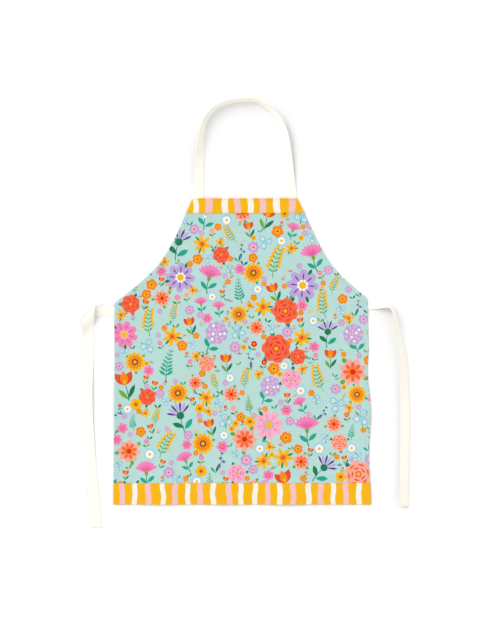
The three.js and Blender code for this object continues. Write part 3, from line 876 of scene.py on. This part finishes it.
def tapeSections(name, first):
    found = rings(name, tapeRing, first)
    middle = np.array([r.mean(0) for r in found])
    way = np.gradient(middle, axis=0)
    out, last = [], None
    for r, direction in zip(found, way):
        if np.dot(np.cross(r - r.mean(0), np.roll(r, -1, axis=0) - r.mean(0)).sum(0), direction) < 0:
            r = r[::-1]
        turns = [np.roll(r, -k, axis=0) for k in range(tapeRing)]
        if last is None:      # the first ring lies flat: start at a corner of its upper face
            turns = [t for t in turns if t[:3, 2].mean() > t[3:, 2].mean()]
            best = min(turns, key=lambda t: np.linalg.norm(t[0] - t[5]) + np.linalg.norm(t[2] - t[3]))
        else:
            best = min(turns, key=lambda t: np.linalg.norm(t - last, axis=1).sum())
        last = best
        out.append(np.concatenate([best.mean(0), best.ravel()]))
    return splined(np.array(out), tapes["step"] * mm)[:, 3:].reshape(-1, tapeRing, 3)


def solidMesh(name, spots, faces, uvs=None):
    # smooth, with every face turned outwards
    mesh = bpy.data.meshes.new(name)
    mesh.from_pydata(spots, [], faces)
    if uvs:
        mesh.uv_layers.new(name="cloth").data.foreach_set("uv", np.array(uvs, np.float32).ravel())
    bm = bmesh.new()
    bm.from_mesh(mesh)
    bmesh.ops.recalc_face_normals(bm, faces=bm.faces)
    bm.to_mesh(mesh)
    bm.free()
    mesh.polygons.foreach_set("use_smooth", [True] * len(mesh.polygons))
    return mesh


def acrossTape(a, w):
    # w goes from -1 at one edge to 1 at the other, on a curve through three points
    return a[..., 0, :] * w * (w - 1) / 2 + a[..., 1, :] * (1 - w * w) + a[..., 2, :] * w * (w + 1) / 2


def tapeMesh(name, cad, first):
    rows = tapeSections(cad, first)
    rows[..., 2] = np.maximum(rows[..., 2], 0.02 * mm)
    upper, lower = rows[:, :3], rows[:, [5, 4, 3]]
    core, half = (upper + lower) / 2, (upper - lower) / 2
    wide = np.linalg.norm(core[:, 2] - core[:, 0], axis=1).mean() / mm
    edge, seam = 1 - tapes["round"] / wide * 2, 1 - 2 * tapes["seam"] / wide
    w = [-edge, -(edge + seam) / 2, -seam - 0.05, -seam, -seam + 0.05]
    w = np.array(w + list(np.linspace(-seam + 0.2, seam - 0.2, tapes["across"] - 4)) + [-x for x in w[::-1]])
    high = 1 - tapes["dip"] * 2 / tapes["high"] * np.exp(-((np.abs(w) - seam) / 0.04) ** 2)
    across = np.concatenate([w, [1.0, 1.0], w[::-1], [-1.0, -1.0]])
    height = np.concatenate([high, [0.55, -0.55], -high[::-1], [-0.55, 0.55]])
    ring = acrossTape(core[:, None], across[:, None])
    ring += acrossTape(half[:, None], across[:, None]) * height[:, None]
    count, m = ring.shape[:2]
    length = lengths(core[:, 1])
    faces, uvs = [], []
    girth = np.concatenate([across[:len(w) + 1], 2 - across[len(w) + 1:]]) * wide / 2 * mm
    girth = np.append(girth, girth[-1] + 1 * mm)
    for i in range(count - 1):
        for j in range(m):
            k = (j + 1) % m
            faces.append([i * m + j, i * m + k, (i + 1) * m + k, (i + 1) * m + j])
            uvs += [(girth[j + a], length[i + b]) for a, b in ((0, 0), (1, 0), (1, 1), (0, 1))]
    n = len(w)
    for i in (0, count - 1):      # the ends are closed
        start = i * m
        for a in range(n - 1):
            f = [start + a, start + a + 1, start + 2 * n - a, start + 2 * n + 1 - a]
            faces.append(f if i else f[::-1])
        faces.append([start + n + k for k in (-1, 0, 1, 2)])
        faces.append([start] + [start + 2 * n + k for k in (1, 2, 3)])
        uvs += [(0, length[i])] * 4 * (n + 1)
    ob = addObject(name, solidMesh(name, ring.reshape(-1, 3).tolist(), faces, uvs))
    print(name, len(faces) * 2, "triangles,", round(length[-1] / mm), "mm long,", round(wide, 1), "wide")
    return ob, core, half, length


strap = tapeMesh("neck_tape", "neck_strap", lambda c: c.y + (10 if c.x > 0 else 0))
tieLeft = tapeMesh("left_tie_tape", "waist_tie_left", lambda c: c.y)
tieRight = tapeMesh("right_tie_tape", "waist_tie_right", lambda c: c.y)


# cotton: fine weave, slubs along both threads, blotches and soft creases, all in the cloth's own metres
weaves = {"printed_canvas": {"pitch": 0.72, "raise": 0.07, "slub": 0.07, "blotch": 0.06, "crease": 0.5},
          "striped_canvas": {"pitch": 0.72, "raise": 0.07, "slub": 0.08, "blotch": 0.05, "crease": 0.35},
          "cotton_twill": {"pitch": 0.95, "raise": 0.1, "slub": 0.05, "blotch": 0.035, "crease": 0.25}}
grain = {"slubs": (1100, 55), "blotches": (34, 34, 1), "creases": (16, 22, 1),      # how many to the metre
         "weave": 0.035, "aged": (0.995, 0.98, 0.94, 1), "rough": (0.84, 0.97)}


def cotton(name, colour=None):
    w = weaves[name]
    m, tree, bsdf = newMaterial(name, 0.9, 0.12)

    def calc(kind, a, b=0.0):
        return node(tree, "Math", {0: a, 1: b}, operation=kind).outputs[0]
    uv = node(tree, "UVMap", {}, uv_map="cloth").outputs[0]
    xy = node(tree, "SeparateXYZ", {0: uv})
    turn = 2 * math.pi / (w["pitch"] * mm)
    x, y = calc("MULTIPLY", xy.outputs[0], turn), calc("MULTIPLY", xy.outputs[1], turn)
    if name == "cotton_twill":
        weave = calc("MULTIPLY", calc("SINE", calc("ADD", x, y)), calc("SINE", calc("MULTIPLY", x, 0.5)))
    else:
        weave = calc("MULTIPLY", calc("SINE", x), calc("SINE", y))

    def noise(scale, detail=2.0):
        spread = node(tree, "VectorMath", {0: uv, 1: scale}, operation="MULTIPLY").outputs[0]
        return node(tree, "TexNoise", {"Vector": spread, "Scale": 1.0, "Detail": detail}).outputs[0]
    wide, long = grain["slubs"]
    warp, weft = noise((wide, long, 1)), noise((long, wide, 1))
    blotch, crease = noise(grain["blotches"], 4.0), noise(grain["creases"], 3.0)
    tone = calc("MULTIPLY", calc("SUBTRACT", calc("ADD", warp, weft), 1.0), w["slub"] * 1.6)
    tone = calc("ADD", tone, calc("MULTIPLY", calc("SUBTRACT", blotch, 0.5), w["blotch"] * 2))
    tone = calc("ADD", tone, calc("MULTIPLY", weave, grain["weave"]))
    tone = calc("ADD", tone, 1.0)
    if colour is None:
        base = node(tree, "Attribute", {}, attribute_name="print").outputs[0]
    else:
        # a little yellower where the tape has aged
        warm = tuple(c * k for c, k in zip(colour, grain["aged"]))
        base = node(tree, "Mix", {0: blotch, 6: colour, 7: warm}, data_type="RGBA").outputs[2]
    shaded = node(tree, "VectorMath", {0: base, "Scale": tone}, operation="SCALE").outputs[0]
    rough = node(tree, "MapRange", {0: blotch, 3: grain["rough"][0], 4: grain["rough"][1]}).outputs[0]
    tree.links.new(shaded, bsdf.inputs["Base Color"])
    tree.links.new(rough, bsdf.inputs["Roughness"])
    big = node(tree, "Bump", {"Strength": 1.0, "Distance": w["crease"] * mm, "Height": crease})
    fine = node(tree, "Bump", {"Strength": 0.6, "Distance": w["raise"] * mm,
                               "Height": calc("ADD", weave, warp), "Normal": big.outputs[0]})
    tree.links.new(fine.outputs[0], bsdf.inputs["Normal"])
    return m


# stitches: short rounded threads that dip into the cloth at both ends
sewing = {"pitch": 3.2, "long": 2.5, "wide": 0.5, "proud": 0.10, "sides": 5,
          "flecks": 900.0, "twist": 800.0, "ply": 0.05, "shade": 0.72,
          "box": (9, 10), "boxIn": 20}      # half the waist box, and its middle from the panel's edge


def thread(name, colour):
    m, tree, bsdf = newMaterial(name, 0.6, 0.2)
    at = node(tree, "TexCoord", {}).outputs["Object"]
    fleck = node(tree, "TexNoise", {"Vector": at, "Scale": sewing["flecks"], "Detail": 2.0}).outputs[0]
    dark = tuple(c * sewing["shade"] for c in colour[:3]) + (1.0,)
    mixed = node(tree, "Mix", {0: fleck, 6: dark, 7: colour}, data_type="RGBA").outputs[2]
    twist = node(tree, "TexWave", {"Vector": at, "Scale": sewing["twist"]},
                 wave_type="BANDS", bands_direction="DIAGONAL").outputs[1]
    bump = node(tree, "Bump", {"Strength": 0.5, "Distance": sewing["ply"] * mm, "Height": twist})
    tree.links.new(mixed, bsdf.inputs["Base Color"])
    tree.links.new(bump.outputs[0], bsdf.inputs["Normal"])
    return m


def stitches(name, runs, material):
    half = sewing["long"] / 2 * mm
    t = np.array([-1, -0.72, 0.0, 0.72, 1]) * half
    r = np.array([0.35, 0.9, 1.0, 0.9, 0.35]) * sewing["wide"] / 2 * mm
    sink = np.array([-0.22, -0.03, 0.05, -0.03, -0.22]) * mm
    a = 2 * math.pi * np.arange(sewing["sides"]) / sewing["sides"] + math.pi / 2
    verts, faces = [], []
    k = sewing["sides"]
    for place, along, up in runs:
        across = np.cross(up, along)
        for p, forward, upward, sideways in zip(place, along, up, across):
            first = len(verts)
            for s in range(5):
                centre = p + forward * t[s] + upward * (sink[s] + sewing["proud"] * mm)
                for c, d in zip(np.cos(a), np.sin(a)):
                    verts.append(centre + sideways * (c * r[s]) + upward * (d * r[s] * 0.7))
            for s in range(4):
                for j in range(k):
                    n = (j + 1) % k
                    faces.append([first + s * k + c for c in (j, n, k + n, k + j)])
            faces.append([first + j for j in range(k)][::-1])
            faces.append([first + 4 * k + j for j in range(k)])
    mesh = solidMesh(name, [(v[0], v[1], max(v[2], 0.02 * mm)) for v in verts], faces)
    mesh.materials.append(material)
    ob = addObject(name, mesh)
    print(name, sum(len(p) for p, _, _ in runs), "stitches")
    return ob


def evenly(path, pitch):
    path = np.asarray(path, float)
    t = lengths(path)
    u = (np.arange(max(1, int(t[-1] // pitch))) + 0.5) * pitch
    return np.stack([np.interp(u, t, path[:, k]) for k in range(path.shape[1])], 1)


def sewnOn(shape, path, up=1):
    # a run of stitches on a cloth, along a path in its flat drawing; up is -1 on the underside
    p = evenly(path, sewing["pitch"] * mm)
    if len(p) < 2:
        return []
    way = unit(np.gradient(p, axis=0)) * mm * 0.5
    side = leftOf(way)
    at = shape(p)[0]
    along = unit(shape(p + way)[0] - shape(p - way)[0])
    away = unit(np.cross(along, shape(p + side)[0] - shape(p - side)[0]))
    if up * away[:, 2].mean() < 0:
        away = -away
    return [(at, along, away)]


def crossedBox(x, y, w, h):
    a, b, c, d = (x - w, y - h), (x + w, y - h), (x + w, y + h), (x - w, y + h)
    return [[a, b], [b, c], [c, d], [d, a], [a, c], [b, d]]


def edgePath(side, q, low, high):
    # a line beside an edge, without the part that the waist corner cuts off
    path = offsetLine(side, q, low, high)
    return path[np.abs(toEdge(path)[0] - q) < 0.3 * mm]


hemSeam = lay["hemSeam"] * mm
low, high = hemMouth + 3 * mm, bibMouth - 3 * mm
runs = []
for side in (0, 1):
    for q, up in ((-hemSeam, 1), (hemSeam + (math.pi - 2) * mm, -1)):
        path = edgePath(side, q, low, high)
        jump = np.flatnonzero(np.linalg.norm(np.diff(path, axis=0), axis=1) > 12 * mm) + 1
        for piece in np.split(path, jump):
            runs += sewnOn(panelShape, piece, up)
for side, tie in ((0, tieLeft), (1, tieRight)):      # a tie's last section is its sewn end
    y = tie[1][-1][:, 1].mean()
    x = sideX(side, y) + sewing["boxIn"] * mm * (-1 if side else 1)
    for line in crossedBox(x, y, *[k * mm for k in sewing["box"]]):
        runs += sewnOn(panelShape, line)
panelThread = stitches("panel_stitching", runs, thread("aqua_thread", dye(168, 215, 206)))

bandThread = thread("yellow_thread", dye(240, 160, 20))
bandStitches = []
for name, (ob, shape, total) in (("hem_band", hemBand), ("bib_band", bibBand)):
    runs = []
    seam, hold = lay["bandSeam"] * mm, lay["tapeSeam"] * mm
    rows = [(seam, 1), (total - seam, -1)]
    if name == "bib_band":      # another row near the fold holds the neck tape
        rows += [(total / 2 - hold, 1), (total / 2 + hold, -1)]
    for v, up in rows:
        y = shape(np.array([[0.0, v]]))[0][0, 1]
        runs += sewnOn(shape, [(sideX(0, y) + 2 * mm, v), (sideX(1, y) - 2 * mm, v)], up)
    bandStitches.append(stitches(name + "_stitching", runs, bandThread))

creamThread = thread("cream_thread", dye(236, 231, 216))


def tapeStitches(name, tape, freeEnd):
    ob, core, half, length = tape
    at = 1 - 2 * tapes["seam"] / tapes["wide"]
    u = evenly(np.stack([length, 0 * length], 1)[[0, -1]], sewing["pitch"] * mm)[:, 0]

    def along(a, w):
        rows = acrossTape(a, w)
        return np.stack([np.interp(u, length, rows[:, k]) for k in range(3)], 1)
    runs = []
    for w in (-at, at):
        place, thick = along(core, w), along(half, w)
        way = unit(np.gradient(place, axis=0))
        for face in (1, -1):
            out = unit(thick) * face
            runs.append((place + thick * face * (1 - 2 * tapes["dip"] / tapes["high"]), way, out))
    if freeEnd:
        k = tapes["endRow"]
        across = acrossTape(core[k], np.linspace(-at + 0.08, at - 0.08, 8)[:, None])
        for face in (1, -1):
            out = np.tile(unit(half[k, 1]) * face, (8, 1))
            runs.append((across + out * tapes["high"] / 2 * mm, unit(np.gradient(across, axis=0)), out))
    return stitches(name, runs, creamThread)


strapThread = tapeStitches("neck_tape_stitching", strap, False)
leftThread = tapeStitches("left_tie_stitching", tieLeft, True)
rightThread = tapeStitches("right_tie_stitching", tieRight, True)

printed, striped = cotton("printed_canvas"), cotton("striped_canvas")
twill = cotton("cotton_twill", (*[c * tapes["bleach"] for c in cream[:3]], 1.0))
parts = [  # piece, stitching, CAD node, material, slot, cut size and area in metres, how it is held
    (panel, panelThread, "front_panel", printed, "printed_cotton", (0.738, 0.847), 0.536, "laid"),
    (hemBand[0], bandStitches[0], "hem_band", striped, "striped_cotton", (0.715, 0.124), None, "folded"),
    (bibBand[0], bandStitches[1], "bib_band", striped, "striped_cotton", (0.33, 0.088), 0.027, "folded"),
    (strap[0], strapThread, "neck_strap", twill, "cotton_tape", (0.03, 0.75), None, "laid"),
    (tieLeft[0], leftThread, "waist_tie_left", twill, "cotton_tape", (0.03, 0.709), None, "folded"),
    (tieRight[0], rightThread, "waist_tie_right", twill, "cotton_tape", (0.03, 0.662), None, "laid")]
for ob, seam, cad, material, slot, cut, area, held in parts:
    ob.data.materials.append(material)
    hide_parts(cad)
    for each in (ob, seam):
        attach(each, "root")
